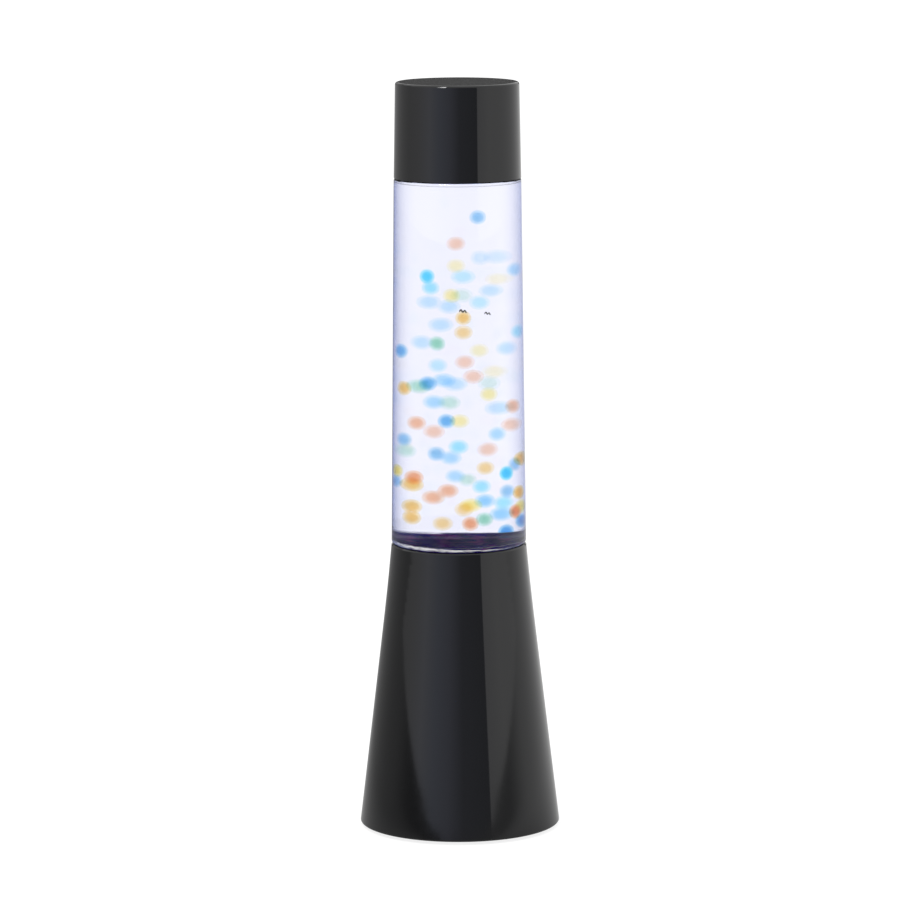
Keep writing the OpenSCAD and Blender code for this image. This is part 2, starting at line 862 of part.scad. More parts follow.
function bottle_outside() = concat(
    [[0, foot_z + punt_h]],
    bezier([
        [0, foot_z + punt_h], [8, foot_z + punt_h],
        [bottle_foot_r - 13, foot_z + 0.7], [bottle_foot_r - 7, foot_z]
    ], 6),
    arc(bottle_foot_r - 2.5, foot_z + 2.5, 2.5, -90, 0, 5),
    [[bottle_foot_r, heel_z]],
    arc(heel_r - heel_round, heel_z + heel_round, heel_round, -90, 0, 6),
    arc(ledge_r - 0.8, ledge_z - 0.8, 0.8, 0, 90, 4),
    [[collar_r, ledge_z], [collar_r, ledge_z + 4]],
    bezier([
        [collar_r, ledge_z + 4], [collar_r, ledge_z + 10],
        [neck_r, ledge_z + shoulder_top - 7], [neck_r, ledge_z + shoulder_top + 2]
    ], 8),
    [
        [neck_r, lip_z - 6.4], [neck_r + 0.9, lip_z - 5.2], [neck_r + 0.9, lip_z - 3.4],
        [neck_r + 0.2, lip_z - 2.6], [neck_r + 0.8, lip_z - 1.2], [neck_r + 0.3, lip_z - 0.3],
        [neck_r - 0.6, lip_z]
    ]
);

// Where the liquid touches the glass, from the bottom centre up to the neck
function bottle_inside() = concat(
    [[0, foot_z + punt_h + glass_t + 0.4]],
    bezier([
        [0, foot_z + punt_h + glass_t + 0.4], [8, foot_z + punt_h + glass_t + 0.4],
        [bottle_foot_r - 15, foot_z + glass_t + 1.1], [bottle_foot_r - 9, foot_z + glass_t + 0.4]
    ], 6),
    arc(bottle_foot_r - glass_t - 2, foot_z + glass_t + 2.4, 2, -90, 0, 4),
    bezier([
        [bottle_foot_r - glass_t, heel_z - 0.6], [bottle_foot_r - glass_t, heel_z + 1.2],
        [heel_r - glass_t, heel_z + 1.4], [heel_r - glass_t, heel_z + 3.4]
    ], 5),
    [[ledge_r - glass_t, ledge_z - 3.4]],
    bezier([
        [ledge_r - glass_t, ledge_z - 3.4], [ledge_r - glass_t, ledge_z - 0.5],
        [collar_r - glass_t, ledge_z + 0.4], [collar_r - glass_t, ledge_z + 3]
    ], 4),
    bezier([
        [collar_r - glass_t, ledge_z + 3.4], [collar_r - glass_t, ledge_z + 9],
        [neck_r - glass_t, ledge_z + shoulder_top - 8], [neck_r - glass_t, ledge_z + shoulder_top + 1]
    ], 8)
);

module bottle_glass() {
    inside = bottle_inside();
    color("#d9def2", 0.35)
        rotate_extrude()
            polygon(concat(
                bottle_outside(),
                [[neck_r - glass_t, lip_z]],
                [for (i = [len(inside) - 1:-1:0]) inside[i]]
            ));
}

liquid_z = ledge_z + liquid_over;

module liquid() {
    skin = 0.02;
    color("#cfd4fa", 0.4)
        intersection() {
            rotate_extrude()
                polygon(concat(
                    [for (p = bottle_inside()) [max(p[0] - skin, 0), p[1] + (p[1] < heel_z - 1 ? skin : 0)]],
                    [[0, ledge_z + shoulder_top + 1]]
                ));
            cylinder(r = heel_r, h = liquid_z);
        }
}

module crown_liner() {
    color("#d9d6cc")
        translate([0, 0, lip_z + face_gap])
            cylinder(r = neck_r + 0.6, h = 0.8);
}

module crown_cap() {
    z = lip_z + 2 * face_gap + 0.8;
    drop = 4.6;
    flutes = 21;
    top_r = neck_r + 1.4;
    skirt_r = neck_r + 2.9;
    color("#c9a94a")
        difference() {
            rotate_extrude()
                polygon([
                    [0, z], [neck_r + 1, z], [neck_r + 1.15, z - 2], [neck_r + 2.5, z - drop],
                    [skirt_r, z - drop], [skirt_r, z - drop + 0.4], [top_r, z - 0.8],
                    [top_r - 0.5, z + 0.15], [top_r - 1.2, z + 0.4], [0, z + 0.4]
                ]);
            for (i = [0:flutes - 1])
                rotate([0, 0, 360 * i / flutes])
                    translate([skirt_r + 0.65, 0, z - drop - 1])
                        cylinder(r = 1, h = drop - 1);
        }
}

// ---------- Cap ----------

module top_cap() {
    round_r = 1.2;
    top_r = cap_r - cap_taper / 2;
    ceiling = top_z - cap_wall;
    color("#161719")
        difference() {
            union() {
                rotate_extrude()
                    polygon(concat(
                        [[cap_in_r, cap_z + 0.3], [cap_in_r + 0.4, cap_z]],
                        [[cap_r - 0.3, cap_z], [cap_r, cap_z + 0.3]],
                        arc(top_r - round_r, top_z - round_r, round_r, 0, 90, 5),
                        [[0, top_z], [0, ceiling], [top_r - cap_wall, ceiling]]
                    ));
                // ribs that centre the cap on the bottle's crown
                for (a = [0:60:300])
                    rotate([0, 0, a])
                        translate([neck_r + 3.6, -0.7, lip_z - 7])
                            cube([cap_in_r - cap_taper / 2 - neck_r - 3.3, 1.4, ceiling - lip_z + 7.2]);
            }
        }
}

// ---------- Beads ----------

// The beads are laid out as a person standing in front of the lamp sees them through the liquid,
// which is a lens. Each row is [across, up, deep] in percent: across from -100 at the left wall to
// 100 at the right one, up from the heel to the ledge, and deep from the front wall to the back.
seen_cyan = [
    [-47, 75, 6], [71, 21, 6], [0, 29, 55], [33, 68, 62], [-42, 72, 38], [8, 75, 88], [34, 18, 45],
    [67, 13, 55], [92, 59, 30], [-31, 51, 50]
];
seen_sky = [
    [35, 80, 50], [61, 80, 86], [-45, 68, 84], [-14, 67, 78], [51, 71, 92], [-56, 57, 66],
    [74, 55, 60], [-22, 47, 82], [-37, 41, 70], [61, 39, 88], [58, 32, 40], [-12, 26, 72],
    [-5, 21, 68], [39, 14, 60], [64, 10, 76], [88, 76, 35], [-5, 46, 92], [-27, 62, 90]
];
seen_blue = [
    [31, 91, 22], [-87, 54, 18], [-46, 46, 42], [-82, 30, 30], [-33, 27, 32], [84, 23, 12],
    [70, 5, 30], [-93, 18, 20], [93, 7, 16], [-18, 36, 36], [72, 16, 22]
];
seen_orange = [
    [-3, 84, 48], [10, 52, 58], [23, 48, 62], [-63, 35, 48], [-37, 33, 66], [44, 28, 60],
    [-16, 17, 64], [-38, 15, 74], [82, 39, 28], [80, 34, 60], [17, 8, 26], [84, 10, 10],
    [-67, 20, 52]
];
seen_amber = [
    [8, 64, 12], [8, 60, 46], [-82, 44, 22], [40, 23, 44], [8, 12, 50], [-70, 18, 68],
    [-70, 12, 58], [-70, 9, 46], [-24, 8, 58], [90, 15, 14], [95, 24, 36]
];
seen_yellow = [
    [-3, 78, 52], [-10, 70, 32], [32, 55, 56], [46, 43, 40], [2, 36, 54], [-92, 21, 16],
    [18, 13, 78], [93, 11, 20], [55, 49, 86], [62, 74, 94]
];
seen_green = [
    [6, 70, 74], [-32, 57, 20], [47, 46, 72], [-14, 41, 78], [13, 20, 60], [38, 9, 34],
    [-80, 27, 62], [-60, 45, 78]
];

// Where that person's eye is
eye_h = 490;
eye_away = 2080;
water_n = 1.36;

function bead_place(seen) =
    let (
        r = mix(heel_r, ledge_r, seen[1] / 100),
        x = seen[0] / 100 * r,
        in = asin(x / r),
        bent = asin(x / r / water_n),
        margin = (bead_d / 2 + glass_t + 0.6) / cos(bent),
        chord = 2 * r * cos(bent),
        run = mix(margin, chord - margin, seen[2] / 100),
        z_seen = mix(heel_z, ledge_z, seen[1] / 100),
        drop = (eye_h - z_seen) / eye_away / water_n
    )
    [
        x - run * sin(in - bent),
        run * cos(in - bent) - r * cos(in),
        max(z_seen - run * drop, foot_z + glass_t + bead_d)
    ];

module beads(seen) {
    for (s = seen)
        translate(bead_place(s))
            sphere(d = bead_d);
}

module beads_cyan() {
    color("#2cc4ee") beads(seen_cyan);
}

module beads_sky() {
    color("#8cc8f4") beads(seen_sky);
}

module beads_blue() {
    color("#3c82dc") beads(seen_blue);
}

module beads_orange() {
    color("#ee7c46") beads(seen_orange);
}

module beads_amber() {
    color("#eea03c") beads(seen_amber);
}

module beads_yellow() {
    color("#f4de5a") beads(seen_yellow);
}

module beads_green() {
    color("#8cc896") beads(seen_green);
}

// ---------- Assembly ----------

base_housing();
bottom_cover();
rubber_feet();
cover_screws();
cord_bush();
cord_clamp_bar();
cord_clamp_screws();
terminal_block();
terminal_tubes();
terminal_screws();
terminal_fixing_screw();
lead_live();
lead_neutral();
holder_bracket();
bracket_screws();
holder_rod();
holder_nut();
holder_washer();
holder_base();
holder_core();
holder_shell();
holder_contact();
holder_sleeve();
seat_ring();
seat_screws();
seat_gasket();
bulb_contact();
bulb_insulator();
bulb_screw_cap();
bulb_glass();
bulb_mirror();
bulb_stem();
bulb_wires();
bulb_filament();
bottle_glass();
liquid();
beads_cyan();
beads_sky();
beads_blue();
beads_orange();
beads_amber();
beads_yellow();
beads_green();
crown_liner();
crown_cap();
top_cap();
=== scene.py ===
"""Table lava lamp: finishes, bottle contents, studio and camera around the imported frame.

Metres, +Z up, front towards -Y. Sizes come from the frame's own nodes.
"""

from __future__ import annotations

import logging
import math
import random
from dataclasses import dataclass, field
from enum import Enum

import bmesh
import bpy
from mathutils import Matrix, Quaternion, Vector

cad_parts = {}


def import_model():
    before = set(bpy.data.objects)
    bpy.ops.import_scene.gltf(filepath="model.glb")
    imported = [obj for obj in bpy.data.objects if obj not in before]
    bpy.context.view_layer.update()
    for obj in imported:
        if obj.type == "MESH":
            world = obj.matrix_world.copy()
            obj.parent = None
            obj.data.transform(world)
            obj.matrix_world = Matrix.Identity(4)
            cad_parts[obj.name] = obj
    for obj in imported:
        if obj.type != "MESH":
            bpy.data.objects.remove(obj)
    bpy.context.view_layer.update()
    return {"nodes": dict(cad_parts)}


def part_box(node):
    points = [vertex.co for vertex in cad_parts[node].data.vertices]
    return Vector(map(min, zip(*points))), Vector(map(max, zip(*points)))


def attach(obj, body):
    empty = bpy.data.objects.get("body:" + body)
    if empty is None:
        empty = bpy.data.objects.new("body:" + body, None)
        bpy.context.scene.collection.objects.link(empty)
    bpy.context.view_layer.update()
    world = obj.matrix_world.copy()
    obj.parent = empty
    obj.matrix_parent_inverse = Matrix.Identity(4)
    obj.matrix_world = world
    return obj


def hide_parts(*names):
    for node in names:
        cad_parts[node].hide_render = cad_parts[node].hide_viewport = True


log = logging.getLogger("lamp")

MM = 0.001
ON_AXIS = 1e-7  # a smaller radius counts as the axis itself
WHITE = (1.0, 1.0, 1.0)
Colour = tuple[float, float, float]
Point = tuple[float, float]
Socket = bpy.types.NodeSocket | Colour | float
LAMPLIGHT_KEPT = (0.97, 0.97, 0.99, 1)
GLASS_IOR = 1.5


def srgb(red: float, green: float, blue: float) -> Colour:
    """Turns screen values from 0 to 255 into linear light.

    Args:
        red: Red value.
        green: Green value.
        blue: Blue value.

    Returns:
        The same colour in linear light, from 0 to 1.
    """
    shares = (v / 255 for v in (red, green, blue))
    return tuple(v / 12.92 if v <= 0.04045 else ((v + 0.055) / 1.055) ** 2.4 for v in shares)


def blended(a: Colour, b: Colour, share: float) -> Colour:
    """Mixes two colours.

    Args:
        a: Colour at share 0.
        b: Colour at share 1.
        share: How much of b.

    Returns:
        The mixed colour.
    """
    return tuple(x + (y - x) * share for x, y in zip(a, b))


def absorbing(kept: Colour, path: float, strength: float = 1.0) -> dict:
    """Works out what a Volume Absorption node needs.

    Args:
        kept: The share of light left after path metres.
        path: That distance.
        strength: How many times stronger it absorbs.

    Returns:
        The node's inputs.
    """
    depth = [-math.log(max(c, 0.01)) * strength for c in kept]
    deepest = max(depth)
    return {"Color": (*(1 - d / deepest for d in depth), 1), "Density": deepest / path}


class Tree:
    """A node tree being filled in."""

    def __init__(self, tree: bpy.types.NodeTree) -> None:
        """Starts from an empty tree."""
        self.tree = tree
        tree.nodes.clear()

    def add(self, kind: str, inputs: dict | None = None, **settings) -> bpy.types.Node:
        """Adds a node.

        Args:
            kind: The node's type name.
            inputs: Values or output sockets, by input name or number.
            **settings: The node's own properties.

        Returns:
            The new node.
        """
        node = self.tree.nodes.new(kind)
        for name, value in settings.items():
            setattr(node, name, value)
        for key, value in (inputs or {}).items():
            if isinstance(value, bpy.types.NodeSocket):
                self.tree.links.new(value, node.inputs[key])
            else:
                node.inputs[key].default_value = value
        return node

    def math(self, operation: str, a: Socket, b: Socket = 0.0,
             clamp: bool = False) -> bpy.types.NodeSocket:
        """Adds a Math node and returns its output."""
        return self.add("ShaderNodeMath", {0: a, 1: b}, operation=operation, use_clamp=clamp).outputs[0]

    def scaled(self, value: Socket, start: float, end: float, low: float = 0.0, high: float = 1.0,
               smooth: bool = False) -> bpy.types.NodeSocket:
        """Maps a value from one range to another, held within the second.

        Args:
            value: The value.
            start: Where it gives low.
            end: Where it gives high.
            low: What it gives at start.
            high: What it gives at end.
            smooth: Whether it eases in and out.

        Returns:
            The mapped value.
        """
        return self.add("ShaderNodeMapRange", {
            "Value": value, "From Min": start, "From Max": end, "To Min": low, "To Max": high},
            interpolation_type="SMOOTHSTEP" if smooth else "LINEAR").outputs[0]

    def smeared(self, flattened: float, scale: float) -> bpy.types.NodeSocket:
        """Adds noise that is drawn out sideways.

        Args:
            flattened: How many times flatter than wide its grains are.
            scale: Its scale.

        Returns:
            The noise, from 0 to 1.
        """
        where = self.add("ShaderNodeTexCoord").outputs["Object"]
        flat = self.add("ShaderNodeMapping", {"Vector": where, "Scale": (1, 1, flattened)})
        return self.add("ShaderNodeTexNoise", {"Vector": flat.outputs[0], "Scale": scale}).outputs["Fac"]

    def place(self) -> bpy.types.NodeOutputs:
        """Gives the x, y and z of the shaded point, in metres."""
        where = self.add("ShaderNodeTexCoord").outputs["Object"]
        return self.add("ShaderNodeSeparateXYZ", {0: where}).outputs

    def lit_through(self, shader: bpy.types.Node, kept: Colour, path: float) -> None:
        """Ends the tree of a clear material, which lamps shine through without bending.

        Args:
            shader: The surface as it is seen.
            kept: The share of light left after path metres inside.
            path: That distance.
        """
        lit = self.add("ShaderNodeBsdfTransparent", {"Color": LAMPLIGHT_KEPT})
        ray = self.add("ShaderNodeLightPath").outputs["Is Shadow Ray"]
        both = self.add("ShaderNodeMixShader", {0: ray, 1: shader.outputs[0], 2: lit.outputs[0]})
        body = self.add("ShaderNodeVolumeAbsorption", absorbing(kept, path))
        self.add("ShaderNodeOutputMaterial", {"Surface": both.outputs[0], "Volume": body.outputs[0]})

    def mix(self, share: Socket, a: Socket, b: Socket) -> bpy.types.NodeSocket:
        """Adds a colour mix.

        Args:
            share: How much of b.
            a: Colour at share 0.
            b: Colour at share 1.

        Returns:
            The mixed colour.
        """
        node = self.add("ShaderNodeMix", data_type="RGBA")
        for socket, value in ((node.inputs[0], share), (node.inputs[6], a), (node.inputs[7], b)):
            if isinstance(value, bpy.types.NodeSocket):
                self.tree.links.new(value, socket)
            else:
                socket.default_value = (*value, 1) if isinstance(value, tuple) else value
        return node.outputs[2]


def material_tree(name: str) -> tuple[bpy.types.Material, Tree]:
    """Makes a material with an empty node tree.

    Args:
        name: The material's name.

    Returns:
        The material and its tree.
    """
    made = bpy.data.materials.new(name)
    made.use_nodes = True
    return made, Tree(made.node_tree)


# ---------- Effects that several finishes share ----------


class Effect(Enum):
    """Surface patterns, each a node group with the same sockets."""

    GRAIN = "fx_grain"
    BRUSHED = "fx_brushed"
    SPANGLE = "fx_spangle"


class Effects:
    """The node groups, each built once."""

    GROUND = (("Colour", "NodeSocketColor"), ("Second colour", "NodeSocketColor"),
              ("Scale", "NodeSocketFloat"), ("Roughness", "NodeSocketFloat"),
              ("Spread", "NodeSocketFloat"))
    GIVES = (("Colour", "NodeSocketColor"), ("Roughness", "NodeSocketFloat"),
             ("Height", "NodeSocketFloat"))
    DRAWN_OUT = (1, 1, 9)
    BROAD_SCALE = 0.08
    FINE_SHARE = 0.6

    def __init__(self) -> None:
        """Builds every group."""
        self.groups = {effect: self.build(effect) for effect in Effect}

    def build(self, effect: Effect) -> bpy.types.NodeTree:
        """Builds one pattern group.

        Args:
            effect: Which pattern.

        Returns:
            The node group.
        """
        group = bpy.data.node_groups.new(effect.value, "ShaderNodeTree")
        for name, kind in self.GROUND:
            group.interface.new_socket(name, in_out="INPUT", socket_type=kind)
        for name, kind in self.GIVES:
            group.interface.new_socket(name, in_out="OUTPUT", socket_type=kind)
        tree = Tree(group)
        given = tree.add("NodeGroupInput").outputs
        where = tree.add("ShaderNodeTexCoord").outputs["Object"]
        if effect is Effect.BRUSHED:
            stretched = tree.add("ShaderNodeMapping", {"Vector": where, "Scale": self.DRAWN_OUT})
            where = stretched.outputs[0]
        if effect is Effect.SPANGLE:
            cells = tree.add("ShaderNodeTexVoronoi", {"Vector": where, "Scale": given["Scale"]})
            pattern = tree.add("ShaderNodeSeparateColor", {0: cells.outputs["Color"]}).outputs[0]
            height = cells.outputs["Distance"]
        else:
            noise = tree.add("ShaderNodeTexNoise", {"Vector": where, "Scale": given["Scale"],
                                                    "Detail": 4.0, "Roughness": 0.6})
            pattern = noise.outputs["Fac"]
            height = pattern
        broad = tree.add("ShaderNodeTexNoise", {
            "Vector": tree.add("ShaderNodeTexCoord").outputs["Object"],
            "Scale": tree.math("MULTIPLY", given["Scale"], self.BROAD_SCALE), "Detail": 2.0})
        share = tree.math("ADD", tree.math("MULTIPLY", pattern, self.FINE_SHARE),
                          tree.math("MULTIPLY", broad.outputs["Fac"], 1 - self.FINE_SHARE))
        centred = tree.math("SUBTRACT", share, 0.5)
        rough = tree.math("ADD", given["Roughness"],
                          tree.math("MULTIPLY", centred, tree.math("MULTIPLY", given["Spread"], 2.0)),
                          clamp=True)
        colour = tree.mix(share, given["Colour"], given["Second colour"])
        tree.add("NodeGroupOutput", {"Colour": colour, "Roughness": rough, "Height": height})
        return group


# ---------- Finishes ----------


@dataclass(frozen=True)
class Finish:
    """An opaque finish: moulded, painted, plated or bare.

    Its colour varies between colour and second, and its roughness by spread. relief is the depth of its
    bumps in metres.
    """

    name: str
    colour: Colour
    second: Colour
    roughness: float
    spread: float
    scale: float
    relief: float
    effect: Effect = Effect.GRAIN
    metallic: float = 0.0
    specular: float = 0.5
    coat: float = 0.0
    coat_roughness: float = 0.08
    subsurface: float = 0.0
    subsurface_depth: float = 2 * MM

    def material(self, effects: Effects) -> bpy.types.Material:
        """Builds the material.

        Args:
            effects: The shared node groups.

        Returns:
            The material.
        """
        made, tree = material_tree(self.name)
        pattern = tree.add("ShaderNodeGroup", node_tree=effects.groups[self.effect])
        values = {"Colour": (*self.colour, 1), "Second colour": (*self.second, 1), "Scale": self.scale,
                  "Roughness": self.roughness, "Spread": self.spread}
        for name, value in values.items():
            pattern.inputs[name].default_value = value
        bump = tree.add("ShaderNodeBump", {"Height": pattern.outputs["Height"], "Distance": self.relief})
        shader = tree.add("ShaderNodeBsdfPrincipled", {
            "Base Color": pattern.outputs["Colour"], "Roughness": pattern.outputs["Roughness"],
            "Normal": bump.outputs[0], "Metallic": self.metallic,
            "Specular IOR Level": self.specular, "Coat Weight": self.coat,
            "Coat Roughness": self.coat_roughness, "Subsurface Weight": self.subsurface,
            "Subsurface Scale": self.subsurface_depth})
        tree.add("ShaderNodeOutputMaterial", {"Surface": shader.outputs[0]})
        return made


@dataclass(frozen=True)
class Glass:
    """Clear glass with its tint. kept is the share of light left after path metres."""

    name: str
    ior: float
    kept: Colour
    path: float

    def shader(self, tree: Tree) -> bpy.types.Node:
        """Adds the glass surface and returns its node."""
        return tree.add("ShaderNodeBsdfPrincipled", {
            "Base Color": (1, 1, 1, 1), "Roughness": 0.0, "IOR": self.ior, "Transmission Weight": 1.0})

    def material(self, _effects: Effects) -> bpy.types.Material:
        """Builds the material.

        Args:
            _effects: Not used.

        Returns:
            The material.
        """
        made, tree = material_tree(self.name)
        tree.lit_through(self.shader(tree), self.kept, self.path)
        return made


@dataclass(frozen=True)
class BottleGlass(Glass):
    """Glass of the bottle: bluer where it is seen edge on, with a painted highlight round its heel.

    rim is the tint edge on, and it sets in where the facing value passes rim_from. echo dims what the
    inner side mirrors. The painted heel highlight is on what is farther out than glint_from and lower than
    a line that runs from glint_tall[0] over heel_z at x = glint_across[0] to glint_tall[1] at
    glint_across[1];
    scuffed is how strongly it shows.
    """

    rim: Colour
    rim_from: float
    heel_z: float
    # glint_from, scuffed, glint_across, glint_tall and glint_patch_range place and shape the painted heel
    # highlight
    glint_from: float
    echo: float = 0.35
    glint_strength: float = 0.6
    glint_across: Point = (-30 * MM, 24 * MM)
    glint_tall: Point = (2.2 * MM, 0.7 * MM)
    smear_flattened: float = 5.0
    smear_scale: float = 240.0
    glint_patch_range: Point = (0.34, 0.56)

    def shader(self, tree: Tree) -> bpy.types.Node:
        """Adds the glass surface and returns its node.

        Args:
            tree: The material's tree.

        Returns:
            The surface's node.
        """
        facing = tree.add("ShaderNodeLayerWeight", {"Blend": 0.5}).outputs["Facing"]
        tint = tree.mix(tree.scaled(facing, self.rim_from, 1.0, smooth=True), WHITE, self.rim)
        behind = tree.add("ShaderNodeNewGeometry").outputs["Backfacing"]
        echo = tree.mix(behind, WHITE, (self.echo,) * 3)
        place = tree.place()
        # painted highlight: near the outer wall and below a sloping line over the heel, patchy noise
        # lowers transmission so the white base colour shows as a glint
        tall = tree.scaled(place[0], *self.glint_across, *self.glint_tall)
        over = tree.math("SUBTRACT", place[2], self.heel_z)
        out = tree.math("SQRT", tree.math("ADD", tree.math("POWER", place[0], 2.0),
                                          tree.math("POWER", place[1], 2.0)))
        glint_band = tree.math("MULTIPLY", tree.math("GREATER_THAN", out, self.glint_from),
                         tree.math("LESS_THAN", over, tall))
        smear = tree.smeared(self.smear_flattened, self.smear_scale)
        glint_patches = tree.scaled(smear, *self.glint_patch_range, 0.0, self.glint_strength)
        clear = tree.math("SUBTRACT", 1.0, tree.math("MULTIPLY", glint_band, glint_patches))
        return tree.add("ShaderNodeBsdfPrincipled", {
            "Base Color": tint, "Roughness": 0.0, "IOR": self.ior, "Transmission Weight": clear,
            "Specular Tint": echo})


@dataclass(frozen=True)
class Liquid(Glass):
    """Tinted liquid, opaque dark violet below shade_z as painted shade where the bottle's foot sits in
    shadow, streaked with painted light, and with an echo that dims what its skin mirrors.
    """

    shade_z: float
    # dye and streak: colours of the painted shade band and of its streaks of painted light
    painted_shade_colour: Colour = (0.014, 0.001, 0.21)
    painted_light_streak: Colour = (0.24, 0.02, 0.3)
    echo: float = 0.05
    smear_flattened: float = 4.0
    smear_scale: float = 160.0
    light_streak_range: Point = (0.52, 0.72)
    wave: float = 1.2 * MM
    fade: float = 0.5 * MM

    def shader(self, tree: Tree) -> bpy.types.Node:
        """Adds the liquid's surface.

        Args:
            tree: The material's tree.

        Returns:
            The surface's node.
        """
        smear = tree.smeared(self.smear_flattened, self.smear_scale)
        # painted shade: below shade_z the liquid turns opaque dark violet where the foot sits in shadow,
        # with lighter streaks of painted light
        shade_and_light_streaks = tree.mix(tree.scaled(smear, *self.light_streak_range), self.painted_shade_colour, self.painted_light_streak)
        wavy = tree.math("ADD", tree.place()[2], tree.math(
            "MULTIPLY", tree.math("SUBTRACT", smear, 0.5), self.wave))
        below = tree.scaled(wavy, self.shade_z + self.fade, self.shade_z)
        return tree.add("ShaderNodeBsdfPrincipled", {
            "Base Color": tree.mix(below, WHITE, shade_and_light_streaks), "Roughness": 0.0, "IOR": self.ior,
            "Transmission Weight": tree.math("SUBTRACT", 1.0, below),
            "Specular Tint": (*(self.echo,) * 3, 1)})


@dataclass(frozen=True)
class Gel:
    """Dyed gel of a bead, which bends light as the liquid round it does."""

    name: str
    shown: Colour
    strength: float
    path: float
    mottle: float = 0.12
    mottle_scale: float = 700.0

    def material(self, _effects: Effects) -> bpy.types.Material:
        """Builds the material.

        Args:
            _effects: Not used.

        Returns:
            The material. shown is the light left after path metres at strength 1.
        """
        made, tree = material_tree(self.name)
        body = tree.add("ShaderNodeVolumeAbsorption",
                        absorbing(self.shown, self.path, self.strength))
        noise = tree.add("ShaderNodeTexNoise", {
            "Vector": tree.add("ShaderNodeTexCoord").outputs["Object"], "Scale": self.mottle_scale})
        tint = tree.mix(noise.outputs["Fac"], WHITE, blended(WHITE, self.shown, self.mottle))
        shader = tree.add("ShaderNodeBsdfPrincipled", {
            "Base Color": tint, "Roughness": 0.0, "IOR": 1.0, "Transmission Weight": 1.0})
        tree.add("ShaderNodeOutputMaterial", {"Surface": shader.outputs[0], "Volume": body.outputs[0]})
        return made


AnyFinish = Finish | Glass | Gel


# ---------- Mesh helpers ----------


def piece(name: str, mesh: bpy.types.Mesh, smooth: bool = True) -> bpy.types.Object:
    """Links a mesh to the scene as a new object.

    Args:
        name: The piece's name.
        mesh: Its mesh.
        smooth: Whether it shades smoothly.

    Returns:
        The object.
    """
    made = bpy.data.objects.new(name, mesh)
    bpy.context.scene.collection.objects.link(made)
    if smooth:
        mesh.polygons.foreach_set("use_smooth", [True] * len(mesh.polygons))
    return made


def lathe(name: str, outline: list[Point], segments: int = 160) -> bpy.types.Mesh:
    """Turns an outline round the Z axis.

    Args:
        name: The mesh's name.
        outline: (radius, height) from the bottom of the axis to its top.
        segments: Steps round the axis.

    Returns:
        A closed mesh.
    """
    rings, faces, points = [], [], []
    for radius, height in outline:
        count = 1 if radius < ON_AXIS else segments
        rings.append(range(len(points), len(points) + count))
        points += [(radius * math.cos(math.tau * i / segments), radius * math.sin(math.tau * i / segments),
                    height) for i in range(count)]
    for low, high in zip(rings, rings[1:]):
        for i in range(segments):
            j = (i + 1) % segments
            corners = [low[i % len(low)], low[j % len(low)], high[j % len(high)], high[i % len(high)]]
            face = list(dict.fromkeys(corners))
            if len(face) > 2:
                faces.append(face)
    mesh = bpy.data.meshes.new(name)
    mesh.from_pydata(points, [], faces)
    mesh.update()
    return mesh


def tube(name: str, path: list[Vector], radius: float, sides: int) -> bpy.types.Mesh:
    """Sweeps a round wire along a path.

    Args:
        name: The mesh's name.
        path: Points of the wire's middle line.
        radius: The wire's radius.
        sides: Sides of its section.

    Returns:
        A closed mesh.
    """
    points, faces = [], []
    across = None
    for i, at in enumerate(path):
        along = (path[min(i + 1, len(path) - 1)] - path[max(i - 1, 0)]).normalized()
        across = along.orthogonal() if across is None else across - along * across.dot(along)
        across.normalize()
        other = along.cross(across)
        points += [at + radius * (across * math.cos(math.tau * k / sides)
                                  + other * math.sin(math.tau * k / sides)) for k in range(sides)]
    for i in range(len(path) - 1):
        for k in range(sides):
            m = (k + 1) % sides
            faces.append((i * sides + k, i * sides + m, (i + 1) * sides + m, (i + 1) * sides + k))
    faces.append(tuple(reversed(range(sides))))
    faces.append(tuple(range((len(path) - 1) * sides, len(path) * sides)))
    mesh = bpy.data.meshes.new(name)
    mesh.from_pydata(points, [], faces)
    mesh.update()
    return mesh


def seam_outline(node: str) -> list[Point]:
    """Reads the outline of a turned solid off its mesh.

    Args:
        node: A CAD node that is one turned solid, closed on its axis.

    Returns:
        (radius, height) points along the outline, from the bottom of the axis to its top.
    """
    mesh = bpy.data.objects[node].data
    step, near = 1e-6, 5
    keys = [(round(v.co.x / step), round(v.co.y / step), round(v.co.z / step)) for v in mesh.vertices]
    ties: dict[tuple, set] = {}
    for edge in mesh.edges:
        a, b = (keys[v] for v in edge.vertices)
        if a != b and max(abs(a[1]), abs(b[1]), -a[0], -b[0]) < near:
            ties.setdefault(a, set()).add(b)
            ties.setdefault(b, set()).add(a)
    at = min(ties, key=lambda k: (k[0] > near, k[2]))
    walk, seen = [at], {at}
    while True:
        ahead = [k for k in ties[at] if k not in seen and max(k[0], at[0]) > near]
        if not ahead:
            break
        at = min(ahead, key=lambda k: math.dist(k, at))
        seen.add(at)
        walk.append(at)
    return [(k[0] * step, k[2] * step) for k in walk]


def held(outline: list[Point], share: float = 0.06) -> list[Point]:
    """Adds points close to each corner, so that smooth shading stays within the corners.

    Args:
        outline: (radius, height) points.
        share: How far from a segment's ends the new points are, as a share of its length.

    Returns:
        The longer outline.
    """
    points = [outline[0]]
    for a, b in zip(outline, outline[1:]):
        for part in (share, 1 - share, 1.0):
            points.append((a[0] + (b[0] - a[0]) * part, a[1] + (b[1] - a[1]) * part))
    return points


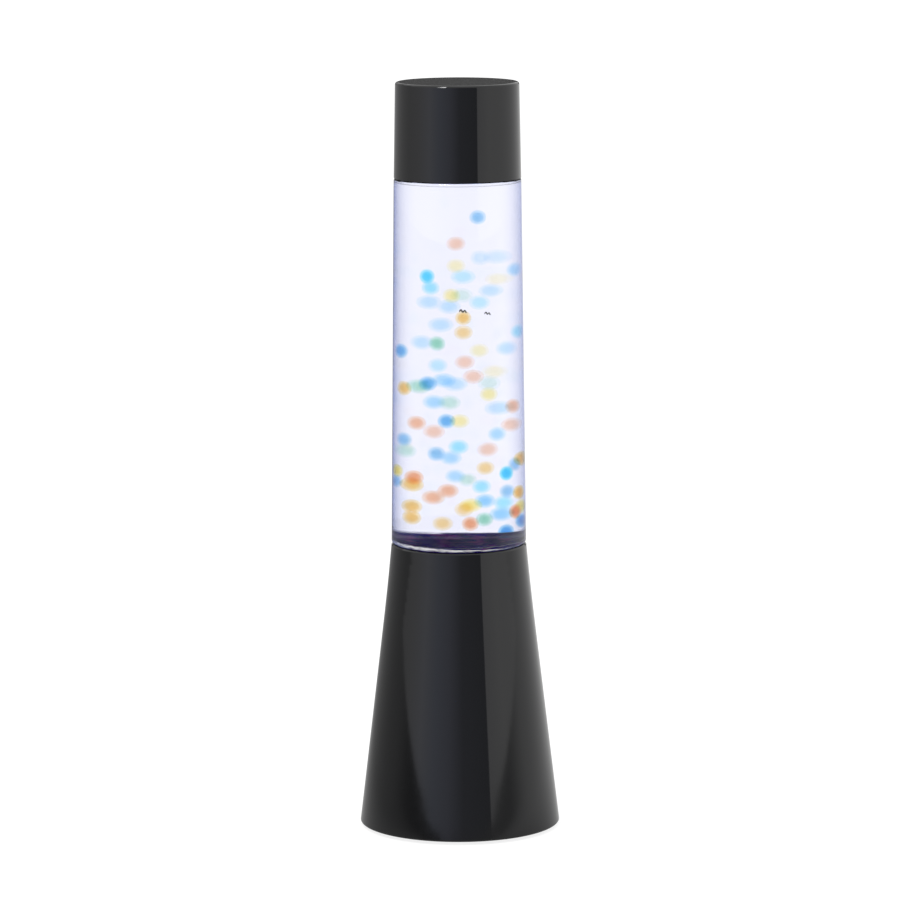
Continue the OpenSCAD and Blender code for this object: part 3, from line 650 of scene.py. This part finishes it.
def loose_parts(node: str) -> list[tuple[Vector, float]]:
    """Finds each separate ball of a CAD node.

    Args:
        node: A CAD node made of separate balls.

    Returns:
        (centre, radius) of each, in metres, sorted from the top down.
    """
    made = bmesh.new()
    made.from_mesh(bpy.data.objects[node].data)
    bmesh.ops.remove_doubles(made, verts=made.verts, dist=1e-6)
    left, found = set(made.verts), []
    while left:
        group, front = [], [left.pop()]
        while front:
            vert = front.pop()
            group.append(vert.co.copy())
            for edge in vert.link_edges:
                other = edge.other_vert(vert)
                if other in left:
                    left.remove(other)
                    front.append(other)
        low = Vector(min(p[i] for p in group) for i in range(3))
        high = Vector(max(p[i] for p in group) for i in range(3))
        found.append(((low + high) / 2, (high.z - low.z) / 2))
    made.free()
    return sorted(found, key=lambda f: -f[0].z)


# ---------- Putting finishes on ----------


@dataclass
class Dresser:
    """Gives CAD nodes their finishes."""

    effects: Effects
    made: dict[str, bpy.types.Material] = field(default_factory=dict)

    def material(self, finish: AnyFinish) -> bpy.types.Material:
        """Builds a finish the first time it is asked for.

        Args:
            finish: The finish.

        Returns:
            Its material.
        """
        if finish.name not in self.made:
            self.made[finish.name] = finish.material(self.effects)
        return self.made[finish.name]

    def wear(self, obj: bpy.types.Object, finish: AnyFinish) -> None:
        """Puts a finish on the whole of a piece."""
        obj.data.materials.clear()
        obj.data.materials.append(self.material(finish))

    def dress(self, nodes: dict[str, bpy.types.Object], wanted: dict[str, AnyFinish]) -> None:
        """Puts finishes on CAD nodes.

        Args:
            nodes: The frame's nodes.
            wanted: The finish for each node name.
        """
        for name, finish in wanted.items():
            self.wear(nodes[name], finish)
            log.info("%s wears %s", name, finish.name)


# ---------- Named finishes ----------


def plastic(name: str, colour: Colour, second: Colour, roughness: float, spread: float = 0.03,
            scale: float = 900.0, relief: float = 2e-6, **more) -> Finish:
    """A moulded plastic or rubber."""
    return Finish(name, colour, second, roughness, spread, scale, relief, **more)


def metal(name: str, colour: Colour, second: Colour, roughness: float, effect: Effect = Effect.BRUSHED,
          scale: float = 700.0, relief: float = 4e-6, spread: float = 0.12, **more) -> Finish:
    """A bare or plated metal."""
    return Finish(name, colour, second, roughness, spread, scale, relief, effect, 1.0, **more)


BLACK_GLOSS = plastic("black_gloss", (0.0022, 0.0023, 0.0027), (0.0034, 0.0035, 0.0042), 0.05,
                      spread=0.025, scale=260.0, relief=1.5e-6)
BLACK_TEXTURED = plastic("black_textured", (0.006, 0.006, 0.0065), (0.012, 0.012, 0.013), 0.55,
                         spread=0.1, scale=2600.0, relief=4e-5)
BLACK_RUBBER = plastic("black_rubber", (0.009, 0.009, 0.009), (0.02, 0.02, 0.02), 0.82,
                       spread=0.1, scale=1800.0, relief=3e-5)
NYLON = plastic("nylon", (0.72, 0.71, 0.67), (0.8, 0.79, 0.76), 0.42, spread=0.08, scale=500.0,
                relief=1e-5, subsurface=0.2)
THERMOSET = plastic("white_thermoset", (0.78, 0.77, 0.72), (0.86, 0.85, 0.81), 0.3, spread=0.06,
                    scale=1500.0, relief=6e-6)
SILICONE = plastic("silicone", (0.62, 0.63, 0.64), (0.72, 0.73, 0.74), 0.38, scale=600.0,
                   relief=8e-6, subsurface=0.5)
LINER = plastic("liner", (0.6, 0.58, 0.52), (0.7, 0.68, 0.62), 0.6, scale=900.0, relief=1e-5)
VITRITE = plastic("vitrite", (0.002, 0.002, 0.002), (0.006, 0.006, 0.006), 0.12, scale=900.0)
LEAD_BROWN = plastic("lead_brown_pvc", (0.12, 0.045, 0.018), (0.16, 0.065, 0.028), 0.4, scale=700.0)
LEAD_BLUE = plastic("lead_blue_pvc", (0.02, 0.07, 0.33), (0.03, 0.1, 0.42), 0.4, scale=700.0)
ZINC_SCREW = metal("zinc_screw", (0.5, 0.51, 0.53), (0.64, 0.65, 0.68), 0.28)
ZINC_SHEET = metal("zinc_sheet", (0.5, 0.51, 0.52), (0.68, 0.69, 0.71), 0.34, Effect.SPANGLE, 320.0,
                   2e-6)
BRASS = metal("brass_bare", (0.6, 0.42, 0.14), (0.74, 0.55, 0.22), 0.26)
ALUMINIUM = metal("aluminium_satin", (0.66, 0.67, 0.68), (0.78, 0.79, 0.8), 0.32)
SOLDER = metal("solder_bright", (0.55, 0.55, 0.56), (0.7, 0.7, 0.71), 0.2, Effect.GRAIN, 900.0, 2e-5)
MIRROR = metal("mirror_film", (0.86, 0.87, 0.88), (0.9, 0.9, 0.91), 0.06, Effect.GRAIN, 300.0, 1e-6)
TUNGSTEN = metal("tungsten_wire", (0.12, 0.115, 0.11), (0.2, 0.19, 0.18), 0.4, scale=3000.0)
CROWN_GOLD = metal("crown_lacquer", (0.58, 0.4, 0.12), (0.68, 0.49, 0.18), 0.24, Effect.GRAIN, 500.0,
                   3e-6, coat=0.5)
# painted shade: the dark crescent edge of an air bubble, drawn as an opaque dark finish
BUBBLE_EDGE_SHADE = plastic("bubble_edge_shade", (0.02, 0.019, 0.01), (0.06, 0.058, 0.035), 0.45, scale=4000.0)


# ---------- Sub-assemblies ----------


@dataclass
class Base:
    """Housing, its underside and the lampholder."""

    finishes: dict[str, Finish] = field(default_factory=lambda: {
        "base_housing": BLACK_GLOSS, "bottom_cover": BLACK_TEXTURED, "rubber_feet": BLACK_RUBBER,
        "cord_bush": BLACK_RUBBER, "cord_clamp_bar": NYLON, "terminal_block": NYLON,
        "cover_screws": ZINC_SCREW, "cord_clamp_screws": ZINC_SCREW, "bracket_screws": ZINC_SCREW,
        "seat_screws": ZINC_SCREW, "terminal_fixing_screw": ZINC_SCREW, "terminal_screws": ZINC_SCREW,
        "terminal_tubes": BRASS, "lead_live": LEAD_BROWN, "lead_neutral": LEAD_BLUE,
        "holder_bracket": ZINC_SHEET, "holder_rod": ZINC_SCREW, "holder_nut": ZINC_SCREW,
        "holder_washer": ZINC_SCREW, "holder_base": THERMOSET, "holder_core": THERMOSET,
        "holder_sleeve": THERMOSET, "holder_shell": BRASS, "holder_contact": BRASS,
        "seat_ring": ALUMINIUM, "seat_gasket": SILICONE})

    def dress(self, dresser: Dresser, nodes: dict[str, bpy.types.Object]) -> None:
        """Puts the finishes on."""
        dresser.dress(nodes, self.finishes)


@dataclass
class Cap:
    """Loose cap over the bottle's neck."""

    finish: Finish = BLACK_GLOSS

    def dress(self, dresser: Dresser, nodes: dict[str, bpy.types.Object]) -> None:
        """Puts the finish on."""
        dresser.dress(nodes, {"top_cap": self.finish})


@dataclass
class Bulb:
    """Reflector bulb, with a coiled filament in place of the plain one."""

    wire: float = 0.11 * MM
    coil: float = 0.36 * MM
    pitch: float = 0.42 * MM
    turn_steps: int = 10
    wire_sides: int = 6
    finishes: dict[str, AnyFinish] = field(default_factory=lambda: {
        "bulb_contact": SOLDER, "bulb_insulator": VITRITE, "bulb_screw_cap": ALUMINIUM,
        "bulb_mirror": MIRROR, "bulb_wires": ZINC_SCREW,
        "bulb_glass": Glass("bulb_clear", GLASS_IOR, (0.97, 0.98, 0.975), 2 * MM),
        "bulb_stem": Glass("stem_clear", GLASS_IOR, (0.95, 0.97, 0.96), 4 * MM)})

    def dress(self, dresser: Dresser, nodes: dict[str, bpy.types.Object]) -> None:
        """Puts the finishes on."""
        dresser.dress(nodes, self.finishes)

    def filament(self, dresser: Dresser) -> None:
        """Builds the coiled filament along the half ring that the frame holds.

        Args:
            dresser: What gives it its finish.
        """
        low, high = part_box("bulb_filament")
        thick = (high.z - low.z) / 2
        ring = (high.x - low.x) / 2 - thick
        length = math.pi * ring
        turns = round(length / self.pitch)
        steps = turns * self.turn_steps
        path = []
        for i in range(steps + 1):
            along = math.pi * i / steps
            spin = math.tau * turns * i / steps
            out = ring + self.coil * math.cos(spin)
            path.append(Vector((out * math.cos(along), out * math.sin(along),
                                (low.z + high.z) / 2 + self.coil * math.sin(spin))))
        made = piece("filament_coil", tube("filament_coil", path, self.wire, self.wire_sides))
        dresser.wear(made, TUNGSTEN)
        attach(made, "bulb")
        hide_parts("bulb_filament")
        log.info("filament_coil has %d turns", turns)


@dataclass(frozen=True)
class BeadKind:
    """One colour of bead. levels has a digit for each bead, from the top down: how strongly its gel is
    tinted.
    """

    node: str
    piece: str
    slot: str
    shown: Colour
    levels: str


@dataclass
class Bottle:
    """Glass bottle, its liquid, beads, bubbles and crown.

    wall_lean is how much narrower the bore gets for each metre up from lean_from. strengths are how
    strongly a bead of level 1 to 5 is tinted, and shells are the sizes of its skin and core. A bubble is
    its x, its height and half its width, and its crescent, a dark tube of painted shade for the bubble's
    edge, has a dip at each side of a crest.
    """

    glass_kept: Colour = (0.95, 0.953, 0.98)
    glass_path: float = 4.8 * MM
    rim: Colour = (0.04, 0.1, 0.44)
    rim_from: float = 0.2
    # heel_over and heel_wall place the painted highlight round the glass heel: its height over the housing
    # and how far in from the outer wall it starts
    heel_over: float = 0.3 * MM
    heel_wall: float = 1.7 * MM
    liquid_ior: float = 1.36
    liquid_kept: Colour = (0.865, 0.872, 0.975)
    liquid_path: float = 56 * MM
    into_glass: float = 0.14 * MM
    flat_top: float = 0.01 * MM
    # height over the housing where the liquid's painted shade band ends
    shade_over: float = 1.7 * MM
    rings: int = 12
    swollen: float = 1.5
    wall_gap: float = 0.1 * MM
    wall_lean: float = 0.0112
    lean_from: float = 0.1308
    shells: tuple[float, ...] = (1.0, 0.68)
    wobble: float = 0.035
    strengths: tuple[float, ...] = (0.12, 0.24, 0.4, 0.6, 0.95)
    bubble_wall: float = 3.4 * MM
    bubble_steps: int = 16
    bubble_dip: float = 0.32
    bubble_tilt: float = 0.2
    bubble_wire: float = 0.19
    wire_sides: int = 6
    kinds: tuple[BeadKind, ...] = (
        BeadKind("beads_cyan", "cyan_beads", "bead_cyan", srgb(40, 196, 250),
                 "4121212522"),
        BeadKind("beads_sky", "sky_beads", "bead_sky", srgb(110, 196, 250),
                 "113222222323233344"),
        BeadKind("beads_blue", "blue_beads", "bead_blue", srgb(62, 152, 226),
                 "34443333355"),
        BeadKind("beads_orange", "orange_beads", "bead_orange", srgb(235, 130, 75),
                 "2223322243354"),
        BeadKind("beads_amber", "amber_beads", "bead_amber", srgb(242, 178, 70),
                 "43453454343"),
        BeadKind("beads_yellow", "yellow_beads", "bead_yellow", srgb(250, 228, 100),
                 "2132133554"),
        BeadKind("beads_green", "green_beads", "bead_green", srgb(110, 200, 160),
                 "14132224"))
    bubbles: tuple[tuple[float, float, float], ...] = (
        (2.1 * MM, 239.6 * MM, 1.6 * MM), (12.6 * MM, 238.2 * MM, 1.35 * MM))

    def dress(self, dresser: Dresser, nodes: dict[str, bpy.types.Object]) -> None:
        """Puts finishes on the glass and the crown.

        Args:
            dresser: What gives them their finishes.
            nodes: The frame's nodes.
        """
        glass = BottleGlass("bottle_clear", GLASS_IOR, self.glass_kept, self.glass_path, self.rim,
                            self.rim_from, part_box("base_housing")[1].z + self.heel_over,
                            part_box("bottle_glass")[1].x - self.heel_wall)
        dresser.dress(nodes, {"bottle_glass": glass, "crown_liner": LINER, "crown_cap": CROWN_GOLD})

    def liquid(self, dresser: Dresser) -> None:
        """Builds the liquid a hair into the glass, so that no air gap bends the view.

        Args:
            dresser: What gives it its finish.
        """
        outline = seam_outline("liquid")
        top = max(z for _, z in outline)
        grown = []
        for i, (radius, height) in enumerate(outline):
            before, after = outline[max(i - 1, 0)], outline[min(i + 1, len(outline) - 1)]
            along = Vector((after[0] - before[0], after[1] - before[1])).normalized()
            if radius < ON_AXIS:
                shift = Vector((0, -self.into_glass if height < top / 2 else 0))
            elif height > top - self.flat_top:
                shift = Vector((self.into_glass, 0))
            else:
                shift = Vector((along.y, -along.x)) * self.into_glass
            grown.append((radius + shift.x, height + shift.y))
        made = piece("liquid_fill", lathe("liquid_fill", held(grown)))
        # top of the liquid's painted shade band
        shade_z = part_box("base_housing")[1].z + self.shade_over
        dresser.wear(made, Liquid("pale_liquid", self.liquid_ior, self.liquid_kept, self.liquid_path,
                                  shade_z))
        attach(made, "bottle")
        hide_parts("liquid")
        log.info("liquid_fill follows %d outline points", len(grown))

    def room(self, centre: Vector, radius: float, centres: list[Vector]) -> float:
        """Works out how far a bead's gel may swell.

        Args:
            centre: The bead's middle.
            radius: The radius of the frame's bead.
            centres: The middles of all beads.

        Returns:
            The gel's radius, clear of the wall and of the next bead.
        """
        low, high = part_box("liquid")
        wall = high.x - (centre.z - low.z) * self.wall_lean - math.hypot(centre.x, centre.y)
        near = min((centre - other).length for other in centres if other is not centre)
        return max(radius, min(radius * self.swollen, wall - self.wall_gap, near - radius))

    def bead(self, mesh: bmesh.types.BMesh, centre: Vector, radius: float, first: int,
             draw: random.Random) -> None:
        """Adds one bead: a skin and a core, a little out of round.

        Args:
            mesh: The mesh that gets the bead.
            centre: Its middle.
            radius: Its radius.
            first: The material slot of its skin. Its core has the next one.
            draw: The seeded source of its shape.
        """
        lean = Vector(draw.uniform(-1, 1) for _ in range(3)).normalized()
        swell = draw.uniform(-self.wobble, self.wobble)
        for layer, share in enumerate(self.shells):
            new = bmesh.ops.create_uvsphere(mesh, u_segments=self.rings * 2, v_segments=self.rings,
                                            radius=1)["verts"]
            for vert in new:
                side = vert.co.dot(lean)
                size = radius * share * (1 - self.wobble + swell * side * side)
                vert.co = centre + vert.co * size
            for face in {f for v in new for f in v.link_faces}:
                face.material_index = first + layer
                face.smooth = True

    def beads(self, dresser: Dresser) -> None:
        """Builds every colour of bead where the frame holds them.

        Args:
            dresser: What gives them their finishes.
        """
        draw = random.Random(7)
        everyone = {kind.node: loose_parts(kind.node) for kind in self.kinds}
        centres = [centre for found in everyone.values() for centre, _ in found]
        for kind in self.kinds:
            found = [(c, self.room(c, r, centres)) for c, r in everyone[kind.node]]
            made = bmesh.new()
            used = sorted(set(kind.levels))
            for (centre, radius), level in zip(found, kind.levels):
                self.bead(made, centre, radius, used.index(level) * len(self.shells), draw)
            mesh = bpy.data.meshes.new(kind.piece)
            made.to_mesh(mesh)
            made.free()
            path = 2 * everyone[kind.node][0][1] * self.swollen * sum(self.shells)
            for level in used:
                for layer in range(len(self.shells)):
                    gel = Gel(f"{kind.slot}_{level}_{layer}", kind.shown,
                              self.strengths[int(level) - 1], path)
                    mesh.materials.append(dresser.material(gel))
            shown = piece(kind.piece, mesh)
            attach(shown, "bottle")
            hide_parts(kind.node)
            log.info("%s holds %d beads", kind.piece, len(found))

    def air_bubbles(self, dresser: Dresser) -> None:
        """Builds the crescents of two small bubbles on the front wall, each a dark tube of painted shade
        for the bubble's edge.

        Args:
            dresser: What gives them their finish.
        """
        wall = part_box("bottle_glass")[1].x - self.bubble_wall
        for number, (across, height, half) in enumerate(self.bubbles, 1):
            inside = wall - (height - self.lean_from) * self.wall_lean
            front = -math.sqrt(inside**2 - across**2)
            path = []
            for i in range(self.bubble_steps + 1):
                along = 2 * i / self.bubble_steps - 1
                dip = self.bubble_dip * math.cos(math.tau * along) + self.bubble_tilt * along
                path.append(Vector((across + half * along, front, height - half * dip)))
            name = f"bubble_{number}"
            # painted shade: an opaque dark tube along the bubble's crescent edge
            made = piece(name, tube(name, path, half * self.bubble_wire, self.wire_sides))
            dresser.wear(made, BUBBLE_EDGE_SHADE)
            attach(made, "bottle")
            log.info("%s is on the front wall", name)


# ---------- Studio ----------


@dataclass(frozen=True)
class Card:
    """A curved card round the lamp that is seen only as gloss.

    Each stop is an angle from the front, in degrees towards +X, with the light there.
    """

    name: str
    radius: float
    low: float
    high: float
    stops: tuple[tuple[float, Colour], ...]

    def build(self) -> None:
        """Builds the card, one flat panel to a degree."""
        first, last = self.stops[0][0], self.stops[-1][0]
        steps = max(2, round(last - first))
        points, faces, lights = [], [], []
        for i in range(steps + 1):
            angle = first + (last - first) * i / steps
            a, b = next((p, q) for p, q in zip(self.stops, self.stops[1:]) if angle <= q[0] + 1e-6)
            light = blended(a[1], b[1], (angle - a[0]) / (b[0] - a[0]))
            turn = math.radians(angle)
            for height in (self.low, self.high):
                points.append((self.radius * math.sin(turn), -self.radius * math.cos(turn), height))
                lights.append((*light, 1))
        for i in range(steps):
            faces.append((2 * i, 2 * i + 2, 2 * i + 3, 2 * i + 1))
        mesh = bpy.data.meshes.new(self.name)
        mesh.from_pydata(points, [], faces)
        shade = mesh.color_attributes.new("light", "FLOAT_COLOR", "POINT")
        for point, light in zip(shade.data, lights):
            point.color = light
        made = piece(self.name, mesh, smooth=False)
        material, tree = material_tree(self.name)
        colour = tree.add("ShaderNodeAttribute", attribute_name="light").outputs["Color"]
        glow = tree.add("ShaderNodeEmission", {"Color": colour})
        tree.add("ShaderNodeOutputMaterial", {"Surface": glow.outputs[0]})
        mesh.materials.append(material)
        made.visible_camera = False
        made.visible_shadow = False
        made.visible_transmission = False
        made.visible_diffuse = False


@dataclass
class Studio:
    """White surroundings, a pale floor, cards, a soft lamp and the camera.

    In gloss the floor is floor_mirrored[0] bright to the left of floor_across and floor_mirrored[1] to
    the right, and fades to floor_ahead of that in front, from reach_least or reach_share of x away.
    """

    white: float = 1.0
    floor_radius: float = 9.0
    floor_sides: int = 96
    floor_glow: float = 0.84
    floor_paint: float = 0.27
    floor_gap: float = 0.02 * MM
    floor_mirrored: Point = (0.34, 0.82)
    floor_across: Point = (-0.25, 0.25)
    floor_ahead: float = 0.42
    reach_least: float = 0.3
    reach_share: float = 0.6
    lamp_at: Vector = field(default_factory=lambda: Vector((-0.5, -0.7, 1.5)))
    lamp_aim: Vector = field(default_factory=lambda: Vector((0, 0, 0.17)))
    lamp_size: float = 0.35
    lamp_watts: float = 6.0
    bounces: int = 64
    eye: Vector = field(default_factory=lambda: Vector((0.00064, -2.080, 0.490)))
    down: float = 8.79
    roll: float = -0.22
    lens: float = 181.6
    cards: tuple[Card, ...] = (
        Card("mirrored_ring", 3.2, -0.1, 2.2, (
            (-180.0, (0.7, 0.7, 0.7)), (-158.0, (0.42, 0.42, 0.42)), (-125.0, (0.48, 0.48, 0.48)),
            (-99.0, (0.56, 0.56, 0.56)), (-74.0, (0.78, 0.78, 0.8)), (-52.0, (0.94, 0.96, 1.06)),
            (-33.0, (0.72, 0.77, 0.93)), (-14.0, (0.58, 0.6, 0.73)), (4.0, (0.32, 0.33, 0.38)),
            (36.0, (0.26, 0.27, 0.3)), (36.6, (0.98, 0.98, 1.0)), (60.0, (1.12, 1.12, 1.12)),
            (85.0, (1.0, 1.0, 1.0)), (113.0, (0.86, 0.86, 0.86)), (180.0, (0.84, 0.84, 0.84)))),
        Card("high_back_card", 3.1, 0.47, 0.72, (
            (150.0, (0.1, 0.1, 0.1)), (210.0, (0.1, 0.1, 0.1)))))

    def world(self) -> None:
        """Makes the surroundings white and shows them as they are."""
        scene = bpy.context.scene
        world = bpy.data.worlds.new("studio")
        scene.world = world
        world.use_nodes = True
        tree = Tree(world.node_tree)
        light = tree.add("ShaderNodeBackground", {"Color": (1, 1, 1, 1), "Strength": self.white})
        tree.add("ShaderNodeOutputWorld", {"Surface": light.outputs[0]})
        scene.view_settings.view_transform = "Standard"
        scene.cycles.max_bounces = self.bounces
        scene.cycles.transmission_bounces = self.bounces
        scene.cycles.transparent_max_bounces = self.bounces

    def floor(self) -> None:
        """Makes the pale floor, which mirrors darker than it looks and is clear from below."""
        mesh = bpy.data.meshes.new("floor")
        made = bmesh.new()
        bmesh.ops.create_circle(made, cap_ends=True, segments=self.floor_sides, radius=self.floor_radius)
        made.to_mesh(mesh)
        made.free()
        floor = piece("floor", mesh, smooth=False)
        material, tree = material_tree("floor_white")
        paint = tree.add("ShaderNodeBsdfDiffuse", {"Color": (*(self.floor_paint,) * 3, 1)})
        glow = tree.add("ShaderNodeEmission", {"Strength": self.floor_glow})
        both = tree.add("ShaderNodeAddShader", {0: paint.outputs[0], 1: glow.outputs[0]})
        place = tree.place()
        level = tree.scaled(place[0], *self.floor_across, *self.floor_mirrored, smooth=True)
        reach = tree.math("MAXIMUM", tree.math("MULTIPLY", tree.math("ABSOLUTE", place[0]),
                                               self.reach_share), self.reach_least)
        ahead = tree.scaled(tree.math("DIVIDE", place[1], reach), 0.0, -1.0, 1.0, self.floor_ahead,
                            smooth=True)
        mirrored = tree.add("ShaderNodeEmission", {"Strength": tree.math("MULTIPLY", level, ahead)})
        ray = tree.add("ShaderNodeLightPath").outputs
        bounced = tree.math("SUBTRACT", ray["Is Glossy Ray"], ray["Is Transmission Ray"], clamp=True)
        seen = tree.add("ShaderNodeMixShader", {0: bounced, 1: both.outputs[0], 2: mirrored.outputs[0]})
        under = tree.add("ShaderNodeNewGeometry").outputs["Backfacing"]
        clear = tree.add("ShaderNodeBsdfTransparent")
        shown = tree.add("ShaderNodeMixShader", {0: under, 1: seen.outputs[0], 2: clear.outputs[0]})
        tree.add("ShaderNodeOutputMaterial", {"Surface": shown.outputs[0]})
        mesh.materials.append(material)
        floor.location.z = -self.floor_gap

    def lamp(self) -> None:
        """Adds the soft square lamp over the front left."""
        light = bpy.data.lights.new("soft_top", "AREA")
        light.size = self.lamp_size
        light.energy = self.lamp_watts
        made = bpy.data.objects.new("soft_top", light)
        bpy.context.scene.collection.objects.link(made)
        made.location = self.lamp_at
        made.rotation_mode = "QUATERNION"
        made.rotation_quaternion = (self.lamp_aim - self.lamp_at).to_track_quat("-Z", "Y")

    def camera(self) -> None:
        """Sets up the camera."""
        data = bpy.data.cameras.new("camera")
        data.lens = self.lens
        made = bpy.data.objects.new("camera", data)
        bpy.context.scene.collection.objects.link(made)
        made.location = self.eye
        made.rotation_mode = "QUATERNION"
        tilt = Quaternion((1, 0, 0), math.radians(90 - self.down))
        made.rotation_quaternion = tilt @ Quaternion((0, 0, 1), math.radians(self.roll))
        bpy.context.scene.camera = made

    def build(self) -> None:
        """Builds the whole studio."""
        self.world()
        self.camera()
        self.floor()
        for card in self.cards:
            card.build()
        self.lamp()


def main() -> None:
    """Builds the looks round the frame."""
    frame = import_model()
    nodes = frame["nodes"]
    dresser = Dresser(Effects())
    Studio().build()
    Base().dress(dresser, nodes)
    Cap().dress(dresser, nodes)
    bulb = Bulb()
    bulb.dress(dresser, nodes)
    bulb.filament(dresser)
    bottle = Bottle()
    bottle.dress(dresser, nodes)
    bottle.liquid(dresser)
    bottle.beads(dresser)
    bottle.air_bubbles(dresser)


if __name__ == "__main__":
    logging.basicConfig(level=logging.INFO, format="%(name)s: %(message)s")
    main()
